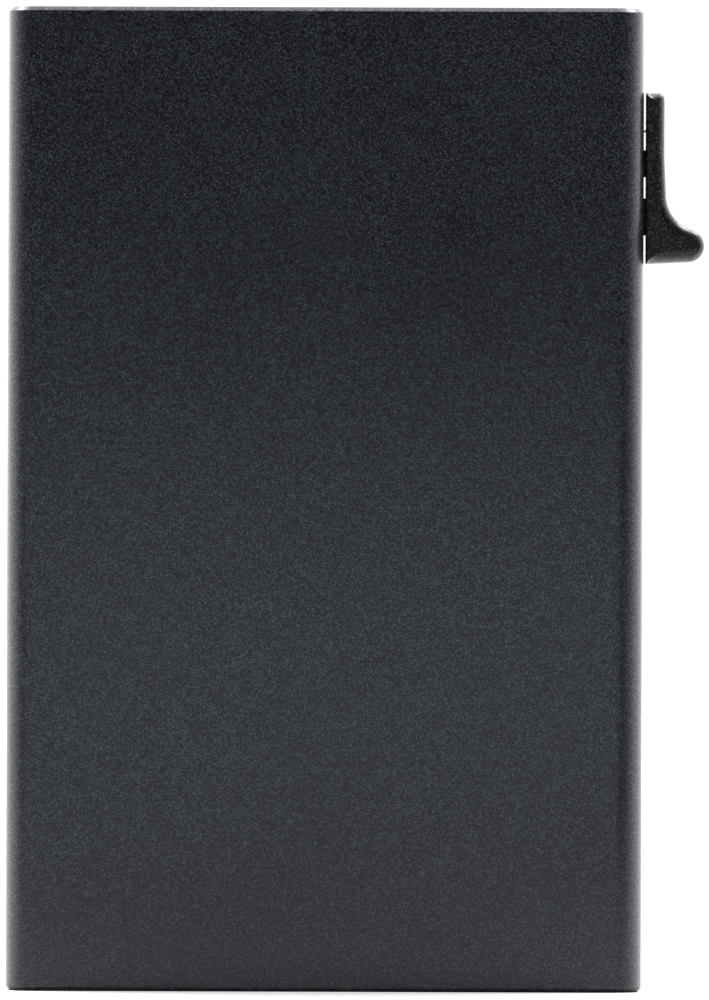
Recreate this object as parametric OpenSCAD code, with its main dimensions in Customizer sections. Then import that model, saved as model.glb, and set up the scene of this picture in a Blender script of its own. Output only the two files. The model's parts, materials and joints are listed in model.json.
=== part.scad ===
// Slim card case: an extruded sleeve that holds a stack of bank cards, with a thumb lever
// on its side that pushes them out of the open lower end in a stepped fan.
// Millimetres. X runs across the case with the lever on +X, Y runs through its thickness
// with the front face towards -Y, and Z is up, with the mouth at Z = 0.

/* [Case] */
// Width across the sleeve, without the lever
case_w = 62.2; // [61.8:0.1:66]
// Thickness from front face to back face
case_d = 9; // [8.8:0.1:11]
// Height of the sleeve from mouth to closed end
case_h = 96.2; // [96:0.1:100]
// Radius of the four long edges
edge_r = 3; // [2.4:0.1:3.4]
// Wall thickness of the two wide faces
face_wall = 1; // [0.8:0.1:1.2]
// Wall thickness of the two narrow sides
side_wall = 1.2; // [1:0.1:1.3]
// Chamfer around both ends of the sleeve
end_chamfer = 0.4; // [0.2:0.1:0.6]
// Thickness of the cap in the closed end
cap_t = 1.6; // [1.4:0.1:1.8]
// How far the cap sits below the end of the sleeve
cap_recess = 0.2; // [0.1:0.05:0.3]

/* [Cards] */
// Width of a standard bank card
card_w = 53.98; // [53.9:0.01:54.1]
// Side play of a card between the two rails
card_play = 0.42; // [0.3:0.01:0.6]
// Number of steps on the pusher, one for each card
step_count = 5; // [3:1:6]
// How much further each step pushes its card
step_rise = 1.1; // [0.8:0.1:1.1]

/* [Lever] */
// How far the lever slides down
travel = 28; // [20:1:30]
// Height of the lever's lower end at rest
lever_z = 71.25; // [70:0.05:71.5]
// Length of the lever along the case
lever_len = 16.75; // [16:0.05:17.5]
// Width of the lever through the thickness of the case
lever_w = 4; // [3:0.1:7]
// Gap between the side of the case and the lever
lever_gap = 0.2; // [0.2:0.05:0.4]
// Thickness of the lever's straight strip
strip_t = 1.85; // [1.6:0.05:2.1]
// How much thicker the strip is where the thumb hollow begins
strip_lean = 0.17; // [0:0.01:0.3]
// Rounding of the strip's upper outer corner
strip_r = 0.65; // [0.3:0.05:0.8]
// How far the thumb nub stands out from the side of the case
nub_reach = 5.95; // [5.7:0.05:7]
// Radius of the nub's tip
nub_r = 1.6; // [1.2:0.05:1.7]
// How much higher the lever's underside is at the nub than at the case
nub_lift = 0.2; // [0:0.05:0.3]
// Radius of the hollow that the thumb rests in
thumb_r = 3.6; // [3.2:0.05:3.9]
// Slope of the ramp between the hollow and the nub's tip, in degrees
ramp = 20; // [18:1:32]
// Thickness of the two stems that pass through the slot
stem_t = 1.8; // [1.5:0.1:1.9]

/* [Guides] */
// Clearance between pieces that stay together
fit_gap = 0.05; // [0.03:0.01:0.06]
// Clearance between pieces that slide on each other
run_gap = 0.1; // [0.06:0.01:0.12]
// Thickness of the soft liners
liner_t = 0.28; // [0.2:0.01:0.3]
// How far the grip spring bows into the card space
spring_bow = 0.9; // [0.6:0.1:1.1]

/* [Hidden] */
$fn = 48;

anodised_black = [0.13, 0.13, 0.14];
plastic_black = [0.09, 0.09, 0.1];
nylon_grey = [0.3, 0.3, 0.32];
screw_black = [0.2, 0.2, 0.22];
spring_steel = [0.7, 0.7, 0.72];
silicone_grey = [0.4, 0.4, 0.42];
felt_charcoal = [0.22, 0.22, 0.24];

// Inside of the sleeve
inner_w = case_w - 2 * side_wall;
inner_d = case_d - 2 * face_wall;
inner_r = edge_r - face_wall;
wall_x = case_w / 2;
cap_z = case_h - cap_recess - cap_t;

// Card space, between the thin plain rail on -X and the thick lever rail on +X
plain_rail_t = 1.55;
card_space_w = card_w + card_play;
plain_rail_x = -inner_w / 2 + fit_gap + plain_rail_t;
lever_rail_x = plain_rail_x + card_space_w;
liner_y = inner_d / 2 - fit_gap / 2 - liner_t;

// The rails stand on the mouth frame and reach up to the cap
mouth_z = 0.6;
mouth_h = 2.6;
mouth_lip = 0.1;
rail_z = mouth_z + mouth_h + fit_gap;
head_h = 1.8;
head_z = cap_z - head_h;
head_w = 3.55;
head_x = inner_w / 2 - fit_gap - head_w / 2;

// Channel in the lever rail, and the carriage that slides in it
channel_back = 1.1;
channel_w = 4.8;
channel_x = lever_rail_x + channel_back;
carriage_x = channel_x + run_gap;
carriage_t = inner_w / 2 - run_gap - carriage_x;
carriage_w = channel_w - 2 * run_gap;
carriage_foot = 1.95;
carriage_z = lever_z + carriage_foot;
carriage_top = head_z - 1;
bumper_t = 1.2;
channel_z = carriage_z - travel - run_gap - bumper_t;

// Arm of the carriage, which passes through a slit in the rail to the stepped pusher
arm_y = -carriage_w / 2;
arm_t = 1.65;
arm_h = 3.6;
arm_z = carriage_top - arm_h;
arm_reach = 4.5;

// Stepped pusher above the cards
steps_d = inner_d - 2 * liner_t - 0.54;
tread = steps_d / step_count;
steps_top = head_z - 0.2;
steps_web = 1.6;
steps_x = plain_rail_x + 0.2;
steps_w = card_space_w - 0.4;

// Screws
cap_screw_r = 0.7;
cap_head_r = 1.3;
cap_screw_len = 3;
steps_screw_r = 0.65;
steps_head_r = 1.2;
steps_screw_len = 4.6;
steps_screw_inset = 2.2;
socket_r = 0.5;
head_cone = 0.75;

// Lever, its stems and the slot in the sleeve's side
lever_x = wall_x + lever_gap;
lever_outer = lever_x + strip_t;
nub_x = wall_x + nub_reach - nub_r;
nub_z = lever_z + nub_lift + nub_r;
thumb_x = lever_outer + strip_lean + thumb_r;
thumb_z = nub_z + (thumb_r + nub_r - (thumb_x - nub_x) * sin(ramp)) / cos(ramp);
lean_len = 3.9;
stems = [[lever_z + 2.8, 3.65], [lever_z + 8.5, 2.65]];
stem_end = carriage_x + 0.2;
barb_t = 0.8;
barb_lip = 0.3;
rib_z = lever_z + 12.9;
rib_h = 0.2;
rib_inset = 0.6;
slot_over = 0.8;
slot_w = stem_t + 0.4;
slot_z = stems[0][0] - travel - slot_over;
slot_len = stems[1][0] + stems[1][1] + slot_over - slot_z;
trim_t = 0.3;

// Brake in the carriage's +Y face
brake_z = carriage_z + 11.6;
brake_h = 4;
brake_t = 0.8;
brake_w = 1.3;
brake_pocket = 1.3;

// Grip spring on the back liner
spring_t = 0.2;
spring_w = 24;
spring_z = 9;
spring_len = 40;
spring_foot = 5;
pad_t = 0.35;
pad_h = 8;
pad_w = 20;

// Rectangle centred on the axis with round corners
module rounded_rect(w, d, r) {
    square([w - 2 * r, d], center = true);
    square([w, d - 2 * r], center = true);
    for (sx = [-1, 1], sy = [-1, 1])
        translate([sx * (w / 2 - r), sy * (d / 2 - r)])
            circle(r);
}

// Side outline of a block with a chamfer at its top and bottom edges
module chamfered_side(w, h, c) {
    polygon([
        [-w / 2 + c, 0], [w / 2 - c, 0], [w / 2, c], [w / 2, h - c],
        [w / 2 - c, h], [-w / 2 + c, h], [-w / 2, h - c], [-w / 2, c]
    ]);
}

// Upright block with round long edges and a chamfer around both ends
module chamfered_block(w, d, h, r, c) {
    rotate([90, 0, 90])
        linear_extrude(w - 2 * r, center = true)
            chamfered_side(d, h, c);
    rotate([90, 0, 0])
        linear_extrude(d - 2 * r, center = true)
            chamfered_side(w, h, c);
    for (sx = [-1, 1], sy = [-1, 1])
        translate([sx * (w / 2 - r), sy * (d / 2 - r), 0])
            rotate_extrude()
                polygon([[0, 0], [r - c, 0], [r, c], [r, h - c], [r - c, h], [0, h]]);
}

// Slice of the sleeve's inside between two heights, smaller than the hollow by a gap
module inside_slice(z, h, gap = fit_gap) {
    translate([0, 0, z])
        linear_extrude(h)
            rounded_rect(inner_w - 2 * gap, inner_d - 2 * gap, inner_r - gap);
}

// Block given by its lowest corner and its size
module block(corner, size) {
    translate(corner)
        cube(size);
}

// Block centred on Y
module centred_block(x, z, size) {
    translate([x, -size[1] / 2, z])
        cube(size);
}

// Block that fits in the lever rail's channel, clear of the sleeve's round corners
module channel_block(z, h) {
    intersection() {
        inside_slice(z, h, run_gap);
        centred_block(carriage_x, z, [inner_w, carriage_w, h]);
    }
}

// Slot shape with round ends, cut along X from x
module slot_shape(x, t, w, z, len) {
    centred_block(x, z + w / 2, [t, w, len - w]);
    for (end = [z + w / 2, z + len - w / 2])
        translate([x, 0, end])
            rotate([0, 90, 0])
                cylinder(t, r = w / 2);
}

// Countersunk screw with its head on top, pointing down, with a hexagonal socket
module screw(len, r, head_r) {
    difference() {
        union() {
            translate([0, 0, -len])
                cylinder(len, r = r);
            translate([0, 0, -head_cone])
                cylinder(head_cone, r1 = r, r2 = head_r);
        }
        translate([0, 0, -head_cone * 0.7])
            cylinder(head_cone, r = socket_r, $fn = 6);
    }
}

// Hole for that screw, with its countersink
module screw_hole(len, r, head_r) {
    translate([0, 0, -len])
        cylinder(len, r = r + fit_gap);
    translate([0, 0, -head_cone - fit_gap])
        cylinder(head_cone + fit_gap, r1 = r + fit_gap, r2 = head_r + fit_gap);
    cylinder(1, r = head_r + fit_gap);
}

// Places its children at the two cap screws
module at_cap_screws() {
    for (sx = [-1, 1])
        translate([sx * head_x, 0, cap_z + cap_t])
            children();
}

// Places its children at the two pusher screws, which go in from the back face
module at_steps_screws() {
    for (x = [steps_x + steps_screw_inset, steps_x + steps_w - steps_screw_inset])
        translate([x, steps_d / 2, arm_z + arm_h / 2])
            rotate([-90, 0, 0])
                children();
}

// Aluminium sleeve, open at both ends, with the lever's slot in its +X side
module case_sleeve() {
    color(anodised_black)
        difference() {
            chamfered_block(case_w, case_d, case_h, edge_r, end_chamfer);
            translate([0, 0, -1])
                linear_extrude(case_h + 2)
                    rounded_rect(inner_w, inner_d, inner_r);
            slot_shape(wall_x - side_wall - 1, side_wall + 2, slot_w + 2 * trim_t,
                slot_z - trim_t, slot_len + 2 * trim_t);
        }
}

// Cap in the closed end, held by two screws into the heads of the rails
module end_cap() {
    color(anodised_black)
        difference() {
            inside_slice(cap_z, cap_t);
            at_cap_screws()
                screw_hole(cap_t + 1, cap_screw_r, cap_head_r);
        }
}

module cap_screws() {
    color(screw_black)
        at_cap_screws()
            screw(cap_screw_len, cap_screw_r, cap_head_r);
}

// Thin frame just inside the mouth, which covers the ends of the liners and rails
module mouth_frame() {
    color(plastic_black)
        difference() {
            inside_slice(mouth_z, mouth_h);
            centred_block(plain_rail_x + mouth_lip, mouth_z - 1,
                [card_space_w - 2 * mouth_lip, 2 * liner_y - 2 * mouth_lip, mouth_h + 2]);
        }
}

// Plastic edging of the slot, so that the stems don't rub on metal
module slot_trim() {
    trim_x = wall_x - side_wall + fit_gap;
    trim_d = side_wall - 2 * fit_gap;
    color(plastic_black)
        difference() {
            slot_shape(trim_x, trim_d, slot_w + 2 * trim_t - 2 * fit_gap,
                slot_z - trim_t + fit_gap, slot_len + 2 * trim_t - 2 * fit_gap);
            slot_shape(trim_x - 1, trim_d + 2, slot_w, slot_z, slot_len);
        }
}

// Thick rail behind the slot: a channel for the carriage and a slit for its arm
module lever_rail() {
    slit_z = arm_z - travel - run_gap;
    color(nylon_grey)
        difference() {
            intersection() {
                inside_slice(rail_z, cap_z - rail_z - fit_gap);
                centred_block(lever_rail_x, 0, [inner_w, inner_d, case_h]);
            }
            centred_block(channel_x, channel_z, [inner_w, channel_w, head_z - channel_z]);
            block([lever_rail_x - 1, arm_y - run_gap, slit_z],
                [channel_back + 2, arm_t + 2 * run_gap, head_z - slit_z]);
            at_cap_screws()
                screw_hole(cap_t + head_h + 1, cap_screw_r, cap_head_r);
        }
}

// Thin rail on the other side, with a groove for the guide shoe and a head for the screw
module plain_rail() {
    groove_z = arm_z - travel - 6.5;
    color(nylon_grey)
        difference() {
            intersection() {
                inside_slice(rail_z, cap_z - rail_z - fit_gap);
                union() {
                    centred_block(-inner_w, 0, [inner_w + plain_rail_x, inner_d, case_h]);
                    centred_block(-inner_w, head_z, [inner_w - head_x + head_w / 2, inner_d, case_h]);
                }
            }
            centred_block(plain_rail_x - 0.95, groove_z, [2, 4, head_z - groove_z]);
            at_cap_screws()
                screw_hole(cap_t + head_h + 1, cap_screw_r, cap_head_r);
        }
}

// Soft liner on one wide wall of the card space, front with side -1 or back with side 1
module liner(side) {
    y = side > 0 ? liner_y : -liner_y - liner_t;
    color(felt_charcoal)
        block([plain_rail_x + 0.2, y, rail_z + 0.1],
            [card_space_w - 0.4, liner_t, head_z - rail_z - 0.4]);
}

module front_liner() {
    liner(-1);
}

module back_liner() {
    liner(1);
}

// Bowed leaf spring that presses the stack towards the front face
module grip_spring() {
    back = liner_y - fit_gap;
    segments = 12;
    bow = [for (i = [0 : segments])
        [back - spring_bow * sin(180 * i / segments), spring_z + spring_len * i / segments]];
    face = [for (p = bow) [p[0] - spring_t, p[1]]];
    foot = spring_z - spring_foot;
    color(spring_steel)
        translate([-spring_w / 2 - 1, 0, 0])
            rotate([90, 0, 90])
                linear_extrude(spring_w)
                    polygon(concat([[back, foot]], bow,
                        [for (i = [segments : -1 : 0]) face[i]], [[back - spring_t, foot]]));
}

// Silicone pad on the crown of that spring
module grip_pad() {
    crown = liner_y - fit_gap - spring_bow - spring_t;
    color(silicone_grey)
        block([-pad_w / 2 - 1, crown - fit_gap - pad_t, spring_z + spring_len / 2 - pad_h / 2],
            [pad_w, pad_t, pad_h]);
}

// Soft stop above the carriage, where it rests
module rest_bumper() {
    color(silicone_grey)
        channel_block(carriage_top + fit_gap, head_z - carriage_top - 2 * fit_gap);
}

// Soft stop at the lower end of the channel
module end_bumper() {
    color(silicone_grey)
        channel_block(channel_z + fit_gap, bumper_t - fit_gap);
}

// Side outline of the lever: a strip that thickens towards the thumb hollow, the hollow, a
// straight ramp and the round nub
module lever_outline() {
    slope = [sin(ramp), cos(ramp)];
    ramp_top = [thumb_x, thumb_z] - thumb_r * slope;
    ramp_end = [nub_x, nub_z] + nub_r * slope;
    translate([lever_x, lever_z])
        square([strip_t, lever_len - strip_r]);
    translate([lever_x, lever_z])
        square([strip_t - strip_r, lever_len]);
    translate([lever_outer - strip_r, lever_z + lever_len - strip_r])
        circle(strip_r);
    translate([nub_x, nub_z])
        circle(nub_r);
    difference() {
        polygon([[lever_x, lever_z], [nub_x, lever_z + nub_lift], ramp_end, ramp_top,
            [thumb_x, thumb_z], [lever_outer + strip_lean, thumb_z],
            [lever_outer, thumb_z + lean_len], [lever_x, thumb_z + lean_len]]);
        translate([thumb_x, thumb_z])
            circle(thumb_r);
    }
}

// Lever with its two barbed stems and the glide rib that steadies it on the sleeve
module thumb_lever() {
    color(plastic_black) {
        rotate([90, 0, 0])
            linear_extrude(lever_w, center = true)
                lever_outline();
        for (s = stems) {
            centred_block(stem_end, s[0], [lever_x - stem_end + 0.5, stem_t, s[1]]);
            centred_block(stem_end, s[0], [barb_t, stem_t + 2 * barb_lip, s[1]]);
        }
        centred_block(wall_x + fit_gap, rib_z, [lever_gap, lever_w - rib_inset, rib_h]);
    }
}

// Slider inside the channel, with windows for the stems, the brake's pocket and the arm
module carriage() {
    color(nylon_grey)
        difference() {
            union() {
                channel_block(carriage_z, carriage_top - carriage_z);
                block([steps_x + steps_w - arm_reach, arm_y, arm_z],
                    [carriage_x - steps_x - steps_w + arm_reach + 0.5, arm_t, arm_h]);
            }
            for (s = stems) {
                z = s[0] - fit_gap;
                h = s[1] + 2 * fit_gap;
                centred_block(carriage_x - 1, z, [carriage_t + 2, stem_t + 2 * fit_gap, h]);
                centred_block(carriage_x - 1, z,
                    [1.2 + barb_t + fit_gap, stem_t + 2 * barb_lip + 2 * fit_gap, h]);
            }
            block([carriage_x + 0.3, carriage_w / 2 - brake_pocket, brake_z],
                [brake_w + 0.2, brake_pocket + 1, brake_h + 0.2]);
            at_steps_screws()
                translate([0, 0, -steps_screw_len - 1])
                    cylinder(steps_screw_len + 1, r = steps_screw_r + fit_gap);
        }
}

// Stair-shaped pusher: every step meets the top edge of one card
module card_steps() {
    low = steps_top - steps_web - (step_count - 1) * step_rise;
    stairs = [for (i = [0 : step_count - 1], e = [0, 1])
        [-steps_d / 2 + (i + e) * tread, low + i * step_rise]];
    pocket = [arm_reach + 1, arm_t + 2 * fit_gap, arm_h + 2 * fit_gap];
    color(nylon_grey)
        difference() {
            translate([steps_x, 0, 0])
                rotate([90, 0, 90])
                    linear_extrude(steps_w)
                        polygon(concat([[-steps_d / 2, steps_top]], stairs, [[steps_d / 2, steps_top]]));
            block([steps_x + steps_w - arm_reach - fit_gap, arm_y - fit_gap, arm_z - fit_gap], pocket);
            block([steps_x - 1 + fit_gap, arm_y - fit_gap, arm_z - fit_gap], pocket);
            at_steps_screws()
                screw_hole(steps_screw_len + 0.2, steps_screw_r, steps_head_r);
        }
}

// Runner at the far end of the pusher, in the plain rail's groove
module guide_shoe() {
    runner_t = 0.95;
    runner_h = 9;
    color(nylon_grey)
        difference() {
            union() {
                centred_block(plain_rail_x - 0.85, carriage_top - runner_h,
                    [runner_t, 3.8, runner_h]);
                block([plain_rail_x + fit_gap, arm_y, arm_z],
                    [arm_reach + 0.1, arm_t, arm_h]);
            }
            at_steps_screws()
                translate([0, 0, -steps_screw_len - 1])
                    cylinder(steps_screw_len + 1, r = steps_screw_r + fit_gap);
        }
}

module steps_screws() {
    color(screw_black)
        at_steps_screws()
            screw(steps_screw_len, steps_screw_r, steps_head_r);
}

// Small bowed spring under the brake pad
module brake_spring() {
    bottom = carriage_w / 2 - brake_pocket + fit_gap;
    rise = brake_pocket - brake_t - 0.1;
    leaf = 0.1;
    segments = 8;
    bow = [for (i = [0 : segments])
        [bottom + (rise - leaf) * sin(180 * i / segments), brake_z + 0.2 + (brake_h - 0.2) * i / segments]];
    color(spring_steel)
        translate([carriage_x + 0.5, 0, 0])
            rotate([90, 0, 90])
                linear_extrude(brake_w - 0.2)
                    polygon(concat(bow, [for (i = [segments : -1 : 0]) bow[i] + [leaf, 0]]));
}

// Friction pad that rubs on the rail and holds the lever where it is put
module brake_pad() {
    color(silicone_grey)
        block([carriage_x + 0.4, carriage_w / 2 + run_gap - fit_gap - brake_t, brake_z + 0.1],
            [brake_w, brake_t, brake_h]);
}

case_sleeve();
end_cap();
cap_screws();
mouth_frame();
slot_trim();
lever_rail();
plain_rail();
front_liner();
back_liner();
grip_spring();
grip_pad();
rest_bumper();
end_bumper();
thumb_lever();
carriage();
card_steps();
guide_shoe();
steps_screws();
brake_spring();
brake_pad();
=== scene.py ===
import json
import math
import bmesh
import bpy
import numpy as np
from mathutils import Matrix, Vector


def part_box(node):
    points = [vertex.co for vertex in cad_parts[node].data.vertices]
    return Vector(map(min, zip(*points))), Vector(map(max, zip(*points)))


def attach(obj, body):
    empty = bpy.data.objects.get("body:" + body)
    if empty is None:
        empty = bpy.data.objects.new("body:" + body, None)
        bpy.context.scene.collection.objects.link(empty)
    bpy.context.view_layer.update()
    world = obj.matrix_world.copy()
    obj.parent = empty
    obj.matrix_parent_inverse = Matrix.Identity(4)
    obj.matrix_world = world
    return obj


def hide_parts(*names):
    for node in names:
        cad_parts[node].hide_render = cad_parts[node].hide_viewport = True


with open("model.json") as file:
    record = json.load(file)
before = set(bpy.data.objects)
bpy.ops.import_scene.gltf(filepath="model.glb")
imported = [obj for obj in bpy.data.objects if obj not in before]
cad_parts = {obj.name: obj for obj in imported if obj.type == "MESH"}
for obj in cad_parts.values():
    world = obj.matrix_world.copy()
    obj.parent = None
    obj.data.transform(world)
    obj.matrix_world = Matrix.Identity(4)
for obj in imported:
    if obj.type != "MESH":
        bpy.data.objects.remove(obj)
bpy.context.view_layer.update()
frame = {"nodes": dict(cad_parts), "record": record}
mm = 0.001
print("frame loaded:", len(frame["nodes"]), "nodes")


def nodeBox(name):
    low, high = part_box(name)
    return np.array(low), np.array(high)


# meshes from numpy arrays

def gridQuads(rows, columns, closeRows=False, closeColumns=False, start=0):
    # quads between neighbouring rows and columns of a grid numbered row by row
    r = np.arange(rows if closeRows else rows - 1)[:, None]
    c = np.arange(columns if closeColumns else columns - 1)[None, :]
    nextRow, nextColumn = (r + 1) % rows, (c + 1) % columns
    corners = [r * columns + c, r * columns + nextColumn,
               nextRow * columns + nextColumn, nextRow * columns + c]
    return np.stack([np.broadcast_to(k, (r.size, c.size)) for k in corners], axis=-1) + start


def joined(grids):
    # point grids of one shell, numbered one after the other; where they meet they are merged later
    starts = np.cumsum([0] + [g.shape[0] * g.shape[1] for g in grids[:-1]])
    quads = [gridQuads(*g.shape[:2], start=first).reshape(-1, 4) for g, first in zip(grids, starts)]
    return np.concatenate([g.reshape(-1, 3) for g in grids]), np.concatenate(quads), [], 0.0


def closedGrid(rings):
    # the first column again at the end
    return np.concatenate([rings, rings[:, :1]], axis=1)


def makePiece(name, shells, material, body, replaced=()):
    # shells: list of (points, quads, capLoops, wear), each a closed surface; seams are merged and
    # every shell is turned outwards
    points, faces, wear = [], [], []
    for p, q, caps, w in shells:
        p = p.reshape(-1, 3)
        first = sum(len(k) for k in points)
        faces += (q.reshape(-1, 4) + first).tolist() + [(np.array(loop) + first).tolist() for loop in caps]
        points.append(p)
        wear.append(np.broadcast_to(w, len(p)))
    mesh = bpy.data.meshes.new(name)
    mesh.from_pydata(np.concatenate(points), [], faces)
    mesh.attributes.new("wear", "FLOAT", "POINT").data.foreach_set(
        "value", np.concatenate(wear).astype(np.float32))
    shape = bmesh.new()
    shape.from_mesh(mesh)
    bmesh.ops.remove_doubles(shape, verts=shape.verts, dist=0.0002 * mm)
    bmesh.ops.recalc_face_normals(shape, faces=shape.faces)
    shape.to_mesh(mesh)
    shape.free()
    mesh.polygons.foreach_set("use_smooth", np.ones(len(mesh.polygons), dtype=bool))
    mesh.update()
    piece = bpy.data.objects.new(name, mesh)
    bpy.context.scene.collection.objects.link(piece)
    mesh.materials.append(material)
    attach(piece, body)
    if replaced:
        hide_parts(*replaced)
    print("piece", name, len(mesh.polygons), "faces")
    return piece


def arc(centre, radius, start, end, steps):
    # points on a circle between two angles in degrees
    a = np.radians(np.linspace(start, end, steps + 1))
    return np.stack([centre[0] + radius * np.cos(a), centre[1] + radius * np.sin(a)], axis=1)


def roundCorner(before, corner, after, radius, steps=4):
    # circle of the given radius that touches both legs of a corner, as points along its arc
    before, corner, after = np.array(before), np.array(corner), np.array(after)
    u = (before - corner) / np.linalg.norm(before - corner)
    v = (after - corner) / np.linalg.norm(after - corner)
    half = math.acos(np.clip(u @ v, -1, 1)) / 2
    centre = corner + (u + v) / np.linalg.norm(u + v) * radius / math.sin(half)
    first = corner + u * radius / math.tan(half) - centre
    last = corner + v * radius / math.tan(half) - centre
    turn = math.pi - 2 * half
    t = np.linspace(0, 1, steps + 1)[:, None]
    return centre + (np.sin((1 - t) * turn) * first + np.sin(t * turn) * last) / math.sin(turn)


around = {"side": 14, "corner": 14, "face": 44}  # samples of a ring along each stretch


def ringPattern():
    # fractions along the flat stretches, and the direction that each sample of a ring faces
    side = np.linspace(-1, 1, around["side"] + 1)[:-1]
    face = np.linspace(-1, 1, around["face"] + 1)[:-1]
    turn = np.linspace(0, 90, around["corner"] + 1)[:-1]
    one, corner = np.ones_like, np.ones(around["corner"])
    fx = np.concatenate([one(side), corner, -face, -corner, -one(side), -corner, face, corner])
    fy = np.concatenate([side, corner, one(face), corner, -side, -corner, -one(face), -corner])
    angle = np.concatenate([0 * side, turn, 0 * face + 90, turn + 90, 0 * side + 180, turn + 180,
                            0 * face + 270, turn + 270])
    return fx, fy, np.cos(np.radians(angle)), np.sin(np.radians(angle))


pattern = ringPattern()


def roundedRings(width, depth, radius, height):
    # stacked outlines of rounded rectangles: half width less the radius, times the flat
    # fraction, plus the radius in the facing direction, and the same through the depth
    fx, fy, cosine, sine = pattern
    measures = (width, depth, radius, height)
    width, depth, radius, height = (np.asarray(k, dtype=float)[:, None] for k in measures)
    x = fx * (width / 2 - radius) + radius * cosine
    y = fy * (depth / 2 - radius) + radius * sine
    return np.stack([x, y, np.broadcast_to(height, x.shape)], axis=-1)


def roundedBlock(low, high, radius, axis=0, steps=3):
    # box with rounded edges: rounded outlines carried along one axis, drawn in at both ends
    low, high = np.array(low), np.array(high)
    order = [(1, 2, 0), (2, 0, 1), (0, 1, 2)][axis]
    size, middle = (high - low)[list(order)], ((low + high) / 2)[list(order)]
    a = np.radians(np.linspace(0, 90, steps + 1))
    inset = np.concatenate([radius * (1 - np.sin(a)), radius * (1 - np.cos(a))])
    along = np.concatenate([radius * (1 - np.cos(a)), size[2] - radius * (1 - np.sin(a))]) - size[2] / 2
    smallest = 0.05 * radius
    corner = np.maximum(radius + smallest - inset, smallest)
    rings = roundedRings(size[0] - 2 * inset, size[1] - 2 * inset, corner, along) + middle
    points = np.empty_like(rings)
    points[..., list(order)] = rings
    count = rings.shape[1]
    ends = [np.arange(count), np.arange(count) + (len(along) - 1) * count]
    return points, gridQuads(len(along), count, closeColumns=True), ends, 0.0


# materials

def addNode(tree, kind, settings=None, **inputs):
    # new shader node with its settings, and its inputs by name, or by number as i0, i1 and so on;
    # an input may be another node's output
    node = tree.nodes.new("ShaderNode" + kind)
    for key, value in (settings or {}).items():
        setattr(node, key, value)
    for key, value in inputs.items():
        name = int(key[1:]) if key[1:].isdigit() and key[0] == "i" else key.replace("_", " ")
        if isinstance(value, bpy.types.NodeSocket):
            tree.links.new(value, node.inputs[name])
        else:
            node.inputs[name].default_value = value
    return node


def newMaterial(name, color, roughness, **inputs):
    material = bpy.data.materials.new(name)
    material.use_nodes = True
    tree = material.node_tree
    shader = tree.nodes["Principled BSDF"]
    shader.inputs["Base Color"].default_value = (*color, 1)
    shader.inputs["Roughness"].default_value = roughness
    for key, value in inputs.items():
        shader.inputs[key.replace("_", " ")].default_value = value
    return material, tree, shader


noiseSpan, cloudShare = (0.3, 0.7), (0.8, 1.0)


def spread(tree, value, low, high):
    # noise output, which mostly lies in noiseSpan, stretched between two values
    return addNode(tree, "MapRange", Value=value, i1=noiseSpan[0], i2=noiseSpan[1],
                   i3=low, i4=high).outputs[0]


def colorBetween(tree, factor, first, second):
    # sockets 6 and 7 are the two colours, and output 2 is the mixed colour
    mix = addNode(tree, "Mix", {"data_type": "RGBA"}, Factor=factor)
    for socket, color in ((6, first), (7, second)):
        if isinstance(color, bpy.types.NodeSocket):
            tree.links.new(color, mix.inputs[socket])
        else:
            mix.inputs[socket].default_value = (*color, 1)
    return mix.outputs[2]


blasted = {
    "color": (0.0, 0.0, 0.0), "paler": (0.109, 0.133, 0.163), "tint": (0.95, 0.94, 1.0, 1),
    "roughness": (0.28, 0.34), "ior": 1.68, "cells": 9300, "sparkle": 3.2,
    "grain": 5200, "grainDepth": 0.000009, "cloud": 60, "bare": (0.16, 0.165, 0.17),
}
eroded = {
    "color": (0.0, 0.0, 0.0), "paler": (0.1, 0.1, 0.103), "tint": (1, 1, 1, 1),
    "roughness": (0.3, 0.36), "ior": 1.7, "cells": 7000, "sparkle": 5.0,
    "grain": 4200, "grainDepth": 0.000010, "cloud": 150, "bare": (0.05, 0.05, 0.05),
}
scuffing = {"scale": 1400.0, "begins": 0.52, "full": 0.72, "share": 0.5}
plasticSkin = {"ior": 1.5, "slow": 220.0, "glossChange": 0.05}
metalLines = {"depth": 0.000004, "glossChange": 0.08}
pile = {"fibre": 6000.0, "depth": 0.00008, "roughness": 0.95, "sheen": 0.5}


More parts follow.
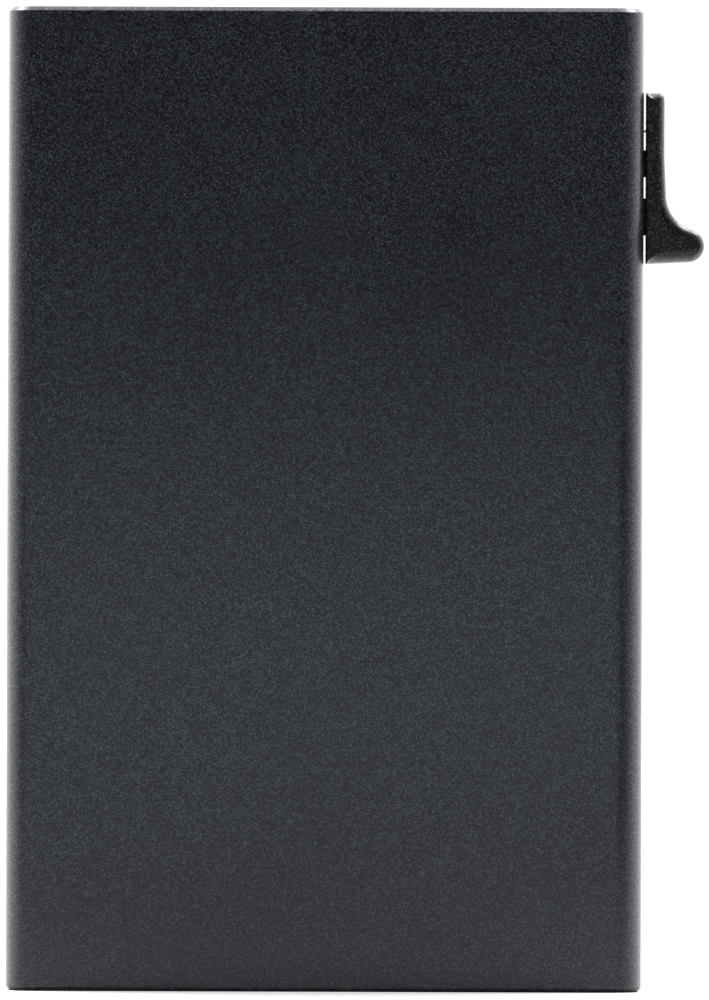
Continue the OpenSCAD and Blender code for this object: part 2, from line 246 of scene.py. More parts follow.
def grainedSurface(name, s):
    # bead-blasted or spark-eroded skin: every little cell has its own shade, a random number to
    # a power, so that few are bright; noise makes the dents, slow noise clouds the finish, and
    # the wear attribute rubs the edges in spots
    material, tree, shader = newMaterial(name, s["color"], 0.4, IOR=s["ior"], Specular_Tint=s["tint"])
    spot = addNode(tree, "TexCoord").outputs["Object"]
    cells = addNode(tree, "TexVoronoi", Vector=spot, Scale=s["cells"]).outputs["Color"]
    cells = addNode(tree, "SeparateColor", Color=cells).outputs[0]
    sparkle = addNode(tree, "Math", {"operation": "POWER"}, i0=cells, i1=s["sparkle"]).outputs[0]
    grain = addNode(tree, "TexNoise", Vector=spot, Scale=s["grain"], Detail=2.0, Roughness=0.6).outputs[0]
    cloud = addNode(tree, "TexNoise", Vector=spot, Scale=s["cloud"], Detail=4.0).outputs[0]
    bump = addNode(tree, "Bump", Height=grain, Distance=s["grainDepth"], Strength=1.0)
    tree.links.new(bump.outputs[0], shader.inputs["Normal"])
    mottled = addNode(tree, "Math", {"operation": "MULTIPLY"}, i0=spread(tree, cloud, *cloudShare),
                      i1=sparkle).outputs[0]
    dyed = colorBetween(tree, mottled, s["color"], s["paler"])
    wear = addNode(tree, "Attribute", {"attribute_name": "wear"}).outputs["Fac"]
    scuff = addNode(tree, "TexNoise", Vector=spot, Scale=scuffing["scale"], Detail=3.0).outputs[0]
    scuff = addNode(tree, "MapRange", Value=scuff, i1=scuffing["begins"], i2=scuffing["full"],
                    i3=0.0, i4=scuffing["share"]).outputs[0]
    rubbed = addNode(tree, "Math", {"operation": "MULTIPLY"}, i0=wear, i1=scuff).outputs[0]
    tree.links.new(colorBetween(tree, rubbed, dyed, s["bare"]), shader.inputs["Base Color"])
    tree.links.new(spread(tree, cloud, *s["roughness"]), shader.inputs["Roughness"])
    return material


def mouldedPlastic(name, color, paler, roughness, grain, depth):
    # moulded plastic: a fine texture, with slow changes of gloss and shade
    material, tree, shader = newMaterial(name, color, roughness, IOR=plasticSkin["ior"])
    spot = addNode(tree, "TexCoord").outputs["Object"]
    fine = addNode(tree, "TexNoise", Vector=spot, Scale=grain, Detail=3.0, Roughness=0.65).outputs[0]
    slow = addNode(tree, "TexNoise", Vector=spot, Scale=plasticSkin["slow"], Detail=2.0).outputs[0]
    change = plasticSkin["glossChange"]
    bump = addNode(tree, "Bump", Height=fine, Distance=depth, Strength=1.0)
    tree.links.new(bump.outputs[0], shader.inputs["Normal"])
    dyed = colorBetween(tree, spread(tree, fine, 0.0, 1.0), color, paler)
    tree.links.new(dyed, shader.inputs["Base Color"])
    tree.links.new(spread(tree, slow, roughness - change, roughness + change), shader.inputs["Roughness"])
    return material


def rolledMetal(name, color, roughness, stretch):
    # drawn or turned metal: noise stretched along one axis makes fine lines
    material, tree, shader = newMaterial(name, color, roughness, Metallic=1.0)
    spot = addNode(tree, "TexCoord").outputs["Object"]
    lines = addNode(tree, "Mapping", Vector=spot, Scale=stretch).outputs[0]
    noise = addNode(tree, "TexNoise", Vector=lines, Scale=1.0, Detail=3.0).outputs[0]
    bump = addNode(tree, "Bump", Height=noise, Distance=metalLines["depth"], Strength=1.0)
    change = metalLines["glossChange"]
    tree.links.new(bump.outputs[0], shader.inputs["Normal"])
    tree.links.new(spread(tree, noise, roughness - change, roughness + change), shader.inputs["Roughness"])
    return material


def pileFelt(name, color, paler):
    # short pile: specks of lighter fibre and a soft sheen
    material, tree, shader = newMaterial(name, color, pile["roughness"], Sheen_Weight=pile["sheen"],
                                         Sheen_Roughness=pile["sheen"])
    spot = addNode(tree, "TexCoord").outputs["Object"]
    fibre = addNode(tree, "TexNoise", Vector=spot, Scale=pile["fibre"],
                    Detail=4.0, Roughness=0.7).outputs[0]
    bump = addNode(tree, "Bump", Height=fibre, Distance=pile["depth"], Strength=1.0)
    tree.links.new(bump.outputs[0], shader.inputs["Normal"])
    dyed = colorBetween(tree, spread(tree, fibre, 0.0, 1.0), color, paler)
    tree.links.new(dyed, shader.inputs["Base Color"])
    return material


looks = {
    "anodised_black": grainedSurface("blastedBlack", blasted),
    "anodised_cap": grainedSurface("blastedCap", {**blasted, "roughness": (0.26, 0.32)}),
    "lever_black": grainedSurface("leverPlastic", eroded),
    "plastic_black": mouldedPlastic("trimPlastic", (0.012, 0.012, 0.0125), (0.019, 0.019, 0.02),
                                    0.5, 6000.0, 0.000008),
    "nylon_grey": mouldedPlastic("nylonGrey", (0.06, 0.06, 0.065), (0.085, 0.085, 0.09),
                                 0.45, 4000.0, 0.000006),
    "screw_black": rolledMetal("screwBlack", (0.05, 0.05, 0.054), 0.38, (2500.0, 2500.0, 300.0)),
    "spring_steel": rolledMetal("springSteel", (0.55, 0.55, 0.57), 0.3, (6000.0, 6000.0, 200.0)),
    "silicone_grey": mouldedPlastic("siliconeGrey", (0.10, 0.10, 0.11), (0.13, 0.13, 0.14),
                                    0.75, 3000.0, 0.000006),
    "felt_charcoal": pileFelt("feltCharcoal", (0.022, 0.022, 0.026), (0.06, 0.06, 0.068)),
}
for part in frame["record"]["subparts"]:
    for materialSlot in frame["nodes"][part["node"]].material_slots:
        materialSlot.material = looks[part["material_slot"]]
print("materials made")


# sleeve

sleeve = {
    "edgeRadius": 3 * mm, "faceWall": 1 * mm, "sideWall": 1.2 * mm, "endChamfer": 0.4 * mm,
    "edgeSoftness": 0.06 * mm, "mouthSoftness": 0.18 * mm, "slotSoftness": 0.07 * mm,
    "slotWindow": 1.3 * mm, "rowSpacing": 1.6 * mm, "slotRows": 42, "trimGap": 0.05 * mm,
    "endRun": 0.35 * mm, "slotWear": 0.8,
}


def stadiumPatch(first, outerLoop, innerLoop, centres, directions, reach, across):
    # rings around a slot, numbered from first: each ring is the slot's centre line plus its
    # outward direction times the reach, and lies at the given place through the wall
    rings = np.empty((len(reach), len(centres), 3))
    rings[..., 0] = across[:, None]
    rings[..., 1:] = centres + directions * reach[:, None, None]
    indices = np.arange(rings.shape[0] * rings.shape[1]).reshape(rings.shape[:2]) + first
    table = np.concatenate([outerLoop[None], indices, innerLoop[None]])
    following = np.roll(table, -1, axis=1)
    quads = np.stack([table[:-1], following[:-1], following[1:], table[1:]], axis=-1)
    return rings.reshape(-1, 3), quads.reshape(-1, 4)


def buildSleeve(s):
    low, high = nodeBox("case_sleeve")
    trimLow, trimHigh = nodeBox("slot_trim")
    width, depth, height = high - low
    chamfer, soft, wall, lip = s["endChamfer"], s["edgeSoftness"], s["faceWall"], s["mouthSoftness"]
    slotHalf = (trimHigh[1] - trimLow[1]) / 2 + s["trimGap"]
    slotLow, slotHigh = trimLow[2] - s["trimGap"], trimHigh[2] + s["trimGap"]
    windowLow, windowHigh = slotLow - s["slotWindow"], slotHigh + s["slotWindow"]
    endRow = chamfer + s["endRun"]

    def rows(a, b):
        return np.linspace(a, b, max(2, int(round((b - a) / s["rowSpacing"]))))

    z = np.concatenate([rows(endRow, windowLow)[:-1], np.linspace(windowLow, windowHigh, s["slotRows"]),
                        rows(windowHigh, height - endRow)[1:]])
    rowLow, rowHigh = np.argmin(abs(z - windowLow)), np.argmin(abs(z - windowHigh))

    # wall section: inset from the outer face against height, with soft corners
    top = np.concatenate([
        roundCorner((0, endRow), (0, height - chamfer), (chamfer, height), soft),
        roundCorner((0, height - chamfer), (chamfer, height), (wall - lip, height), soft),
        roundCorner((chamfer, height), (wall, height), (wall, height - 2 * lip), lip, 5)])
    bottom = (top * [1, -1] + [0, height])[::-1]
    section = np.concatenate([
        np.stack([0 * z, z], axis=1), top,
        np.stack([0 * z + wall, z[::-1]], axis=1), bottom])
    inset = section[:, 0]
    sideInset = inset + (s["sideWall"] - wall) * np.clip((inset - chamfer) / (wall - chamfer), 0, 1)
    points = roundedRings(width - 2 * sideInset, depth - 2 * inset, s["edgeRadius"] - inset, section[:, 1])
    count = points.shape[1]
    quads = gridQuads(len(section), count, closeRows=True, closeColumns=True)

    # leave the slot's window out of both walls, then close it around the slot
    keep = np.ones(quads.shape[:2], dtype=bool)
    innerRow = 2 * len(z) + len(top) - 1 - np.arange(len(z))
    keep[rowLow:rowHigh, :around["side"]] = False
    keep[innerRow[rowHigh]:innerRow[rowLow], :around["side"]] = False
    acrossColumns = np.arange(around["side"] + 1)
    upRows = np.arange(rowLow, rowHigh + 1)
    loopRows = np.concatenate([0 * acrossColumns + rowLow, upRows[1:-1],
                               0 * acrossColumns + rowHigh, upRows[::-1][1:-1]])
    loopColumns = np.concatenate([acrossColumns, 0 * upRows[1:-1] + around["side"],
                                  acrossColumns[::-1], 0 * upRows[1:-1]])
    rim = points[loopRows, loopColumns][:, 1:]
    centres = np.stack([0 * rim[:, 0], np.clip(rim[:, 1], slotLow + slotHalf, slotHigh - slotHalf)], axis=1)
    directions = rim - centres
    directions /= np.linalg.norm(directions, axis=1, keepdims=True)
    edge = s["slotSoftness"]
    turn = np.radians(np.linspace(0, 90, 5))
    reach = slotHalf + edge * (1 - np.sin(turn))
    across = width / 2 - edge * (1 - np.cos(turn))
    reach = np.concatenate([reach, reach[::-1]])
    across = np.concatenate([across, width / 2 - s["sideWall"] + edge * (1 - np.cos(turn[::-1]))])
    flat = points.reshape(-1, 3)
    outerLoop, innerLoop = loopRows * count + loopColumns, innerRow[loopRows] * count + loopColumns
    extra, patch = stadiumPatch(len(flat), outerLoop, innerLoop, centres, directions, reach, across)

    # the ends are worn, and the slot's rings less and less from the outside in
    wear = np.zeros(len(section))
    wear[len(z):len(z) + len(top)] = 1
    wear[2 * len(z) + len(top):] = 1
    slotWear = np.linspace(s["slotWear"], 0, len(reach))
    wear = np.concatenate([np.repeat(wear, count), np.repeat(slotWear, len(centres))])
    return np.concatenate([flat, extra]), np.concatenate([quads[keep], patch]), [], wear


sleevePiece = makePiece("sleeve_shell", [buildSleeve(sleeve)], looks["anodised_black"], "case",
                        ["case_sleeve"])


# lever

lever = {  # ramp and nubEnd are angles in degrees
    "strip": 1.85 * mm, "gap": 0.2 * mm, "lean": 0.17 * mm, "leanLength": 3.9 * mm,
    "leanPower": 1.2, "ramp": 20.0, "hollowRadius": 3.6 * mm, "nubRadius": 1.6 * mm,
    "nubLift": 0.2 * mm, "nubEnd": -88, "topRadius": 0.65 * mm, "innerRadius": 0.2 * mm,
    "edges": {"top": 1.15 * mm, "outer": 1.0 * mm, "bottom": 1.15 * mm, "inner": 0.25 * mm},
    "rows": 150, "columns": 36, "blend": 7, "blendFrom": 0.02 * mm, "edgeSteps": 500,
    "stemWidth": 1.8 * mm, "stems": ((2.8 * mm, 3.65 * mm), (8.5 * mm, 2.65 * mm)),
    "stemRadius": 0.15 * mm, "ribHeight": 12.9 * mm, "ribThickness": 0.2 * mm, "ribInset": 0.3 * mm,
    "ribRadius": 0.05 * mm, "ribGap": 0.05 * mm, "rootDepth": 0.3 * mm,
}


def evenly(curve, count):
    # points at equal steps of a curve's length, or at the given shares of it
    length = np.concatenate([[0], np.cumsum(np.linalg.norm(np.diff(curve, axis=0), axis=1))])
    at = np.asarray(count) * length[-1] if np.ndim(count) else np.linspace(0, length[-1], count)
    return np.stack([np.interp(at, length, curve[:, k]) for k in (0, 1)], axis=1)


def leverSides(s, wallX, low, high):
    # the four sides of the lever's outline, seen from the front: the top, the side next to the
    # case, the thumb side with its hollow, ramp and nub, and the underside. Above the hollow the
    # thumb side leans out by the lean times a power of the way down
    inner, outer = wallX + s["gap"], wallX + s["gap"] + s["strip"]
    slope = math.radians(s["ramp"])
    nub = np.array([high[0] - s["nubRadius"], low[2] + s["nubLift"] + s["nubRadius"]])
    hollowX = outer + s["lean"] + s["hollowRadius"]
    reach = s["hollowRadius"] + s["nubRadius"]
    hollowZ = nub[1] + (reach - (hollowX - nub[0]) * math.sin(slope)) / math.cos(slope)
    small, top = s["innerRadius"], s["topRadius"]
    share = np.linspace(1, 0, 12)[:-1]
    leaning = np.stack([outer + s["lean"] * (1 - share) ** s["leanPower"],
                        hollowZ + s["leanLength"] * share], axis=1)
    innerSide = np.concatenate([
        arc((inner + small, high[2] - small), small, 90, 180, 5),
        arc((inner + small, low[2] + small), small, 180, 270, 5)])
    thumbSide = np.concatenate([
        arc((outer - top, high[2] - top), top, 90, 0, 10), leaning,
        arc((hollowX, hollowZ), s["hollowRadius"], 180, 270 - s["ramp"], 30),
        arc(nub, s["nubRadius"], 90 - s["ramp"], s["nubEnd"], 40)])
    return {"top": np.array([innerSide[0], thumbSide[0]]),
            "bottom": np.array([innerSide[-1], thumbSide[-1]]),
            "inner": innerSide, "outer": thumbSide}


def distanceTo(curve, points):
    # distance from each point to the nearest place on a curve's straight stretches
    start, step = curve[:-1], np.diff(curve, axis=0)
    offset = points[:, :, None] - start
    share = np.clip((offset * step).sum(axis=-1) / (step ** 2).sum(axis=-1), 0, 1)
    return np.linalg.norm(offset - share[..., None] * step, axis=-1).min(axis=-1)


def leverBody(s, wallX, low, high):
    # patch between the four sides: the sum of both rulings less the bilinear corner patch.
    # Depth is the half width less a quarter-round's drop at the distance d from the outline,
    # r - sqrt(r^2 - (r - d)^2), where the radius r is a blend of the four sides' own radii.
    # Rows and columns are crowded towards the outline
    sides = leverSides(s, wallX, low, high)
    half = (high[1] - low[1]) / 2
    u = (1 - np.cos(np.linspace(0, np.pi, s["rows"]))) / 2
    u = 0.5 * u + 0.5 * np.linspace(0, 1, s["rows"])
    v = (1 - np.cos(np.linspace(0, np.pi, s["columns"]))) / 2
    top, bottom = evenly(sides["top"], v)[None], evenly(sides["bottom"], v)[None]
    inner, outer = evenly(sides["inner"], u)[:, None], evenly(sides["outer"], u)[:, None]
    across, down = v[None, :, None], u[:, None, None]
    flat = ((1 - across) * inner + across * outer + (1 - down) * top + down * bottom
            - (1 - down) * ((1 - across) * top[:, :1] + across * top[:, -1:])
            - down * ((1 - across) * bottom[:, :1] + across * bottom[:, -1:]))
    away = [distanceTo(evenly(sides[name], s["edgeSteps"]), flat) for name in sides]
    away = np.stack(away, axis=-1)
    distance = away.min(axis=-1)
    weight = ((distance[..., None] + s["blendFrom"]) / (away + s["blendFrom"])) ** s["blend"]
    radius = (weight * [s["edges"][name] for name in sides]).sum(axis=-1) / weight.sum(axis=-1)
    distance[[0, -1]] = 0
    distance[:, [0, -1]] = 0
    lack = np.clip(radius - distance, 0, None)
    drop = radius - np.sqrt(radius ** 2 - lack ** 2)
    rows, columns = s["rows"], s["columns"]
    sheets = np.stack([flat[..., 0], 0 * drop, flat[..., 1]], axis=-1)[None].repeat(2, axis=0)
    sheets[0, ..., 1] = drop - half
    sheets[1, ..., 1] = half - drop
    grid = np.arange(rows * columns).reshape(rows, columns)
    rim = np.concatenate([grid[0, :-1], grid[:-1, -1], grid[-1, :0:-1], grid[:0:-1, 0]])
    nextRim = np.roll(rim, -1)
    wall = np.stack([rim, nextRim, nextRim + rows * columns, rim + rows * columns], axis=1)
    front = gridQuads(rows, columns).reshape(-1, 4)
    quads = np.concatenate([front, (front + rows * columns)[:, ::-1], wall[:, ::-1]])
    wear = np.tile(np.clip(1 - distance / radius, 0, 1).ravel(), 2)
    return sheets, quads, [], wear


def buildLever(s):
    # stems and rib end inside the lever, at the root
    low, high = nodeBox("thumb_lever")
    wallX = nodeBox("case_sleeve")[1][0]
    half = (high[1] - low[1]) / 2
    root = wallX + s["gap"] + s["rootDepth"]
    stems = [roundedBlock((low[0], -s["stemWidth"] / 2, low[2] + start),
                          (root, s["stemWidth"] / 2, low[2] + start + size), s["stemRadius"])
             for start, size in s["stems"]]
    ribLow = low[2] + s["ribHeight"]
    rib = roundedBlock((wallX + s["ribGap"], s["ribInset"] - half, ribLow),
                       (root, half - s["ribInset"], ribLow + s["ribThickness"]), s["ribRadius"])
    return [leverBody(s, wallX, low, high), *stems, rib]


makePiece("thumb_lever_shell", buildLever(lever), looks["lever_black"], "slider",
          ["thumb_lever"])


# cap, with its two countersunk screws

cap = {
    "cornerRadius": 1.95 * mm, "edgeSoftness": 0.12 * mm, "holeSoftness": 0.04 * mm,
    "headRadius": 1.3 * mm, "headGap": 0.05 * mm, "bore": 0.75 * mm, "cone": 0.8 * mm,
    "endColumns": 3, "rows": 8,
}
screw = {
    "headRadius": 1.3 * mm, "shankRadius": 0.7 * mm, "cone": 0.75 * mm, "socket": 0.5 * mm,
    "socketDepth": 0.5 * mm, "drillPoint": 0.12 * mm, "edge": 0.03 * mm,
    "flatRadii": (0.75 * mm, 1.0 * mm, 1.2 * mm),
    "pitch": 0.35 * mm, "thread": 0.05 * mm, "tip": 0.15 * mm, "tipRadius": 0.5 * mm,
    "columns": 60, "turnRows": 70,
}


def faceWithHoles(s, ring, holeX, holeRadius):
    # flat face inside a rounded outline, round one hole near each end: a ruled middle, and end
    # zones whose rings shrink from the outline to the circle
    quarter = around["side"] + around["corner"]
    far, k = len(ring) - around["corner"], s["endColumns"]
    share = np.linspace(0, 1, s["rows"] + 1)[:, None, None]
    middle = (1 - share) * ring[quarter + k:quarter + around["face"] - k + 1][None]
    middle = middle + share * ring[far - k:far - around["face"] + k - 1:-1][None]
    loop = np.concatenate([ring[far - k:], ring[:quarter + k + 1], middle[1:, 0]])
    centre = np.array([holeX, 0, ring[0, 2]])
    outward = loop - centre
    circle = centre + holeRadius * outward / np.linalg.norm(outward, axis=1, keepdims=True)
    shrink = np.linspace(0, 1, 5)[:, None, None]
    zone = (1 - shrink) * loop[None] + shrink * circle[None]
    return middle, zone, circle


def buildCap(s):
    # rounded plate, and in each hole a tube: the directions of the face's circle times the radii
    # of a countersunk wall
    low, high = nodeBox("end_cap")
    holeX = nodeBox("cap_screws")[1][0] - s["headRadius"]
    width, depth = (high - low)[:2]
    soft, lip, hole = s["edgeSoftness"], s["holeSoftness"], s["headRadius"] + s["headGap"]
    turn = np.radians(np.linspace(0, 90, 5))
    drop, draw = soft * (1 - np.cos(turn)), soft * (1 - np.sin(turn))
    inset = np.concatenate([draw, draw[::-1]])
    z = np.concatenate([high[2] - drop, low[2] + drop[::-1]])
    rings = roundedRings(width - 2 * inset, depth - 2 * inset, s["cornerRadius"] - inset, z)
    grids = [closedGrid(rings)]
    wall = np.array([
        (hole + lip, high[2]), (hole + 0.3 * lip, high[2] - 0.3 * lip), (hole - 0.2 * lip, high[2] - lip),
        (s["bore"], high[2] - s["cone"]), (s["bore"], low[2] + lip), (s["bore"] + lip, low[2])])
    top = faceWithHoles(s, rings[0], holeX, wall[0, 0])
    under = faceWithHoles(s, rings[-1], holeX, wall[-1, 0])
    centre = np.array([holeX, 0, 0])
    unit = (top[2] - centre)[:, :2] / wall[0, 0]
    tube = np.empty((len(wall), len(unit), 3))
    tube[..., :2] = centre[:2] + unit[None] * wall[:, None, :1]
    tube[..., 2] = wall[:, 1:]
    for zone in (top[1], under[1], tube):
        grids += [zone, zone * [-1, 1, 1]]
    return [joined(grids + [top[0], under[0]])]


def buildScrews(s):
    # turned profile: radius against height, for each angle; in the socket the radius is a
    # hexagon's, cos 30 over cos of the angle from the nearest flat's middle, and on the shank a
    # wave that climbs with the angle cuts the thread
    low, high = nodeBox("cap_screws")
    top, centreX = high[2], high[0] - s["headRadius"]
    angle = np.linspace(0, 2 * np.pi, s["columns"] + 1)
    hexagon = s["socket"] * math.cos(math.pi / 6) / np.cos(angle % (np.pi / 3) - np.pi / 6)
    edge, bottom = s["edge"], top - s["socketDepth"]
    inside = [(0.0, bottom - s["drillPoint"]), (0.8, bottom),
              (1.0, bottom + edge), (1.0, top - edge), (1.06, top)]
    radius = [hexagon * k for k, _ in inside]
    height = [h for _, h in inside]
    outside = [*((r, top) for r in s["flatRadii"]), (s["headRadius"] - 1.5 * edge, top - 0.3 * edge),
               (s["headRadius"] - edge, top - edge), (s["shankRadius"], top - s["cone"])]
    radius += [0 * angle + r for r, _ in outside]
    height += [h for _, h in outside]
    for share in np.linspace(0, 1, s["turnRows"])[1:]:
        z = top - s["cone"] + (low[2] + s["tip"] - top + s["cone"]) * share
        wave = 0.5 - 0.5 * np.cos(2 * np.pi * z / s["pitch"] - angle)
        radius.append(s["shankRadius"] - s["thread"] * wave)
        height.append(z)
    radius += [0 * angle + s["tipRadius"], 0 * angle]
    height += [low[2], low[2]]
    radius, height = np.array(radius), np.array(height)[:, None] + 0 * angle
    grid = np.stack([centreX + radius * np.cos(angle), radius * np.sin(angle), height], axis=-1)
    return [joined([grid]), joined([grid - [2 * centreX, 0, 0]])]


makePiece("cap_plate", buildCap(cap), looks["anodised_cap"], "case", ["end_cap"])
makePiece("cap_screw_pair", buildScrews(screw), looks["screw_black"], "case",
          ["cap_screws"])


# edging of the slot, and the frame inside the mouth

edging = {"innerHalf": 1.1 * mm, "softness": 0.09 * mm, "arcSteps": 22, "straightSteps": 30}
mouth = {
    "cornerRadius": 1.95 * mm, "softness": 0.1 * mm, "openingRadius": 0.3 * mm,
    "opening": (54.2 * mm, 6.19 * mm), "openingX": -1.1 * mm,
    "leadIn": 0.16 * mm, "leadInHeight": 0.5 * mm,
}


def buildEdging(s):
    # small rounded section carried round the slot: the slot's middle line plus the outward
    # direction times the section's reach
    low, high = nodeBox("slot_trim")
    outerHalf = (high[1] - low[1]) / 2
    foot, head = low[2] + outerHalf, high[2] - outerHalf
    turn = np.radians(np.linspace(0, 180, s["arcSteps"] + 1))
    climb = np.linspace(foot, head, s["straightSteps"] + 1)[1:-1]
    y = np.concatenate([np.cos(turn), 0 * climb - 1, -np.cos(turn), 0 * climb + 1])
    z = np.concatenate([np.sin(turn), 0 * climb, -np.sin(turn), 0 * climb])
    middle = np.concatenate([0 * turn + head, climb[::-1], 0 * turn + foot, climb])
    soft = s["softness"]
    corners = [(s["innerHalf"], low[0]), (outerHalf, low[0]),
               (outerHalf, high[0]), (s["innerHalf"], high[0])]
    section = np.concatenate([roundCorner(corners[k - 1], corners[k], corners[(k + 1) % 4], soft)
                              for k in range(4)])
    section = np.concatenate([section, section[:1]])
    grid = np.empty((len(section), len(y), 3))
    grid[..., 0] = section[:, 1:]
    grid[..., 1] = section[:, :1] * y
    grid[..., 2] = middle + section[:, :1] * z
    return [joined([closedGrid(grid)])]


def buildMouth(s):
    # rings down the outside, across the lower face, up the opening with its lead-in, and back
    low, high = nodeBox("mouth_frame")
    soft, flare = s["softness"], s["leadIn"]
    turn = np.radians(np.linspace(0, 90, 5))
    drop, draw = soft * (1 - np.cos(turn)), soft * (1 - np.sin(turn))
    inset = np.concatenate([draw, draw[::-1]])
    z = np.concatenate([high[2] - drop, low[2] + drop[::-1]])
    width, depth = (high - low)[:2]
    outer = roundedRings(width - 2 * inset, depth - 2 * inset, s["cornerRadius"] - inset, z)
    outset = np.array([flare, 0.8 * flare, 0.45 * flare, 0.15 * flare, 0, 0, 0.2 * soft, 0.6 * soft])
    rise = np.array([0, 0.04, 0.25, 0.6, 1, 0, 0, 0]) * s["leadInHeight"]
    z = low[2] + rise
    z[5:] = high[2] - np.array([0.6, 0.2, 0]) * soft
    inner = roundedRings(s["opening"][0] + 2 * outset, s["opening"][1] + 2 * outset,
                         s["openingRadius"] + outset, z) + [s["openingX"], 0, 0]
    grid = np.concatenate([outer, inner, outer[:1]])
    return [joined([closedGrid(grid)])]


for name, node, shells in (("slot_edging", "slot_trim", buildEdging(edging)),
                           ("mouth_collar", "mouth_frame", buildMouth(mouth))):
    makePiece(name, shells, looks["plastic_black"], "case", [node])


# card spring, its ribbed pad, the bumpers and the brake's pad

spring = {
    "thickness": 0.2 * mm, "foot": 5 * mm, "edge": 0.06 * mm, "cornerRadius": 3 * mm, "rows": 90,
    "thinning": 0.8,
}
pad = {
    "cornerRadius": 0.12 * mm, "ribPitch": 0.8 * mm, "ribDepth": 0.1 * mm, "rows": 120,
    "sideRadius": 1 * mm, "thinning": 0.5,
}
bumper = {"radius": 0.22 * mm, "steps": 5}


def ribbon(low, high, rows, sideRadius, edge):
    # heights of a strip's rows, crowded at both ends, how far its sides draw in there, which is a
    # quarter-round's drop at the distance from the end, and how much thinner it gets, which is
    # the edge times the square of the way into it
    share = (1 - np.cos(np.linspace(0, np.pi, rows))) / 2
    z = low[2] + (high[2] - low[2]) * share
    away = np.minimum(z - low[2], high[2] - z)
    lack = np.clip(sideRadius - away, 0, None)
    draw = sideRadius - np.sqrt(np.clip(sideRadius ** 2 - lack ** 2, 0, None))
    thin = np.clip(1 - away / edge, 0, 1) ** 2 * edge
    return z, draw, thin


def cappedRings(rings):
    rows, count = rings.shape[:2]
    ends = [np.arange(count), np.arange(count) + (rows - 1) * count]
    return rings, gridQuads(rows, count, closeColumns=True), ends, 0.0


def buildSpring(s):
    # strip that bows away from the wall by the bow's height times the sine of the way along it
    low, high = nodeBox("grip_spring")
    z, draw, thin = ribbon(low, high, s["rows"], s["cornerRadius"], s["edge"])
    along = np.clip((z - low[2] - s["foot"]) / (high[2] - low[2] - s["foot"]), 0, 1)
    bow = high[1] - low[1] - s["thickness"]
    y = high[1] - s["thickness"] / 2 - bow * np.sin(np.pi * along)
    thin = s["thinning"] * thin
    rings = roundedRings(high[0] - low[0] - 2 * draw, s["thickness"] - 2 * thin, s["edge"] - thin, z)
    rings[..., 1] += y[:, None]
    rings[..., 0] += (low[0] + high[0]) / 2
    return [cappedRings(rings)]


def buildPad(s):
    # pad whose free side rises and falls in ribs: depth is less by half the rib's depth times
    # one minus the cosine of the height, one turn a pitch
    low, high = nodeBox("grip_pad")
    z, draw, thin = ribbon(low, high, s["rows"], s["sideRadius"], s["cornerRadius"])
    groove = s["ribDepth"] * (0.5 - 0.5 * np.cos(2 * np.pi * (z - low[2]) / s["ribPitch"]))
    depth = high[1] - low[1] - groove - thin
    radius = s["cornerRadius"] - s["thinning"] * thin
    rings = roundedRings(high[0] - low[0] - 2 * draw, depth, radius, z)
    rings[..., 1] += (high[1] - depth / 2)[:, None]
    rings[..., 0] += (low[0] + high[0]) / 2
    return [cappedRings(rings)]


makePiece("grip_strip", buildSpring(spring), looks["spring_steel"], "case",
          ["grip_spring"])
makePiece("grip_ribs", buildPad(pad), looks["silicone_grey"], "case", ["grip_pad"])
for name, node, body in (("upper_stop", "rest_bumper", "case"), ("lower_stop", "end_bumper", "case"),
                         ("brake_shoe", "brake_pad", "slider")):
    block = roundedBlock(*nodeBox(node), bumper["radius"], 2, bumper["steps"])
    makePiece(name, [block], looks["silicone_grey"], body, [node])


# felt linings

felt = {
    "edge": 0.11 * mm, "rows": 110, "thinning": 0.7, "swell": 0.03 * mm, "swellPitch": 2.7 * mm,
    "upTurn": 1.3, "slantUp": 0.61, "slantAcross": 0.8,
}


def buildFelt(s, node):
    # thin mat with round edges, whose free side lies back by two slow waves: a sine across times a
    # cosine up, and a sine of both at a slant
    low, high = nodeBox(node)
    z, _, thin = ribbon(low, high, s["rows"], s["edge"], s["edge"])
    thickness, thin = high[1] - low[1], s["thinning"] * thin
    rings = roundedRings(0 * z + high[0] - low[0], thickness - 2 * thin, s["edge"] - thin, z)
    freeSide = -np.sign(low[1])
    x, up = rings[..., 0] / s["swellPitch"], z[:, None] / s["swellPitch"]
    wave = 0.5 + 0.25 * np.sin(x) * np.cos(up * s["upTurn"])
    wave = wave + 0.25 * np.sin(up * s["slantUp"] + x * s["slantAcross"])
    share = np.clip(rings[..., 1] / thickness * freeSide + 0.5, 0, 1)
    rings[..., 1] += (low[1] + high[1]) / 2 - freeSide * s["swell"] * wave * share
    rings[..., 0] += (low[0] + high[0]) / 2
    return [cappedRings(rings)]


for name, node in (("felt_front", "front_liner"), ("felt_back", "back_liner")):
    mat = makePiece(name, buildFelt(felt, node), looks["felt_charcoal"], "case", [node])
print("inner pieces made")


# stage, lights and camera

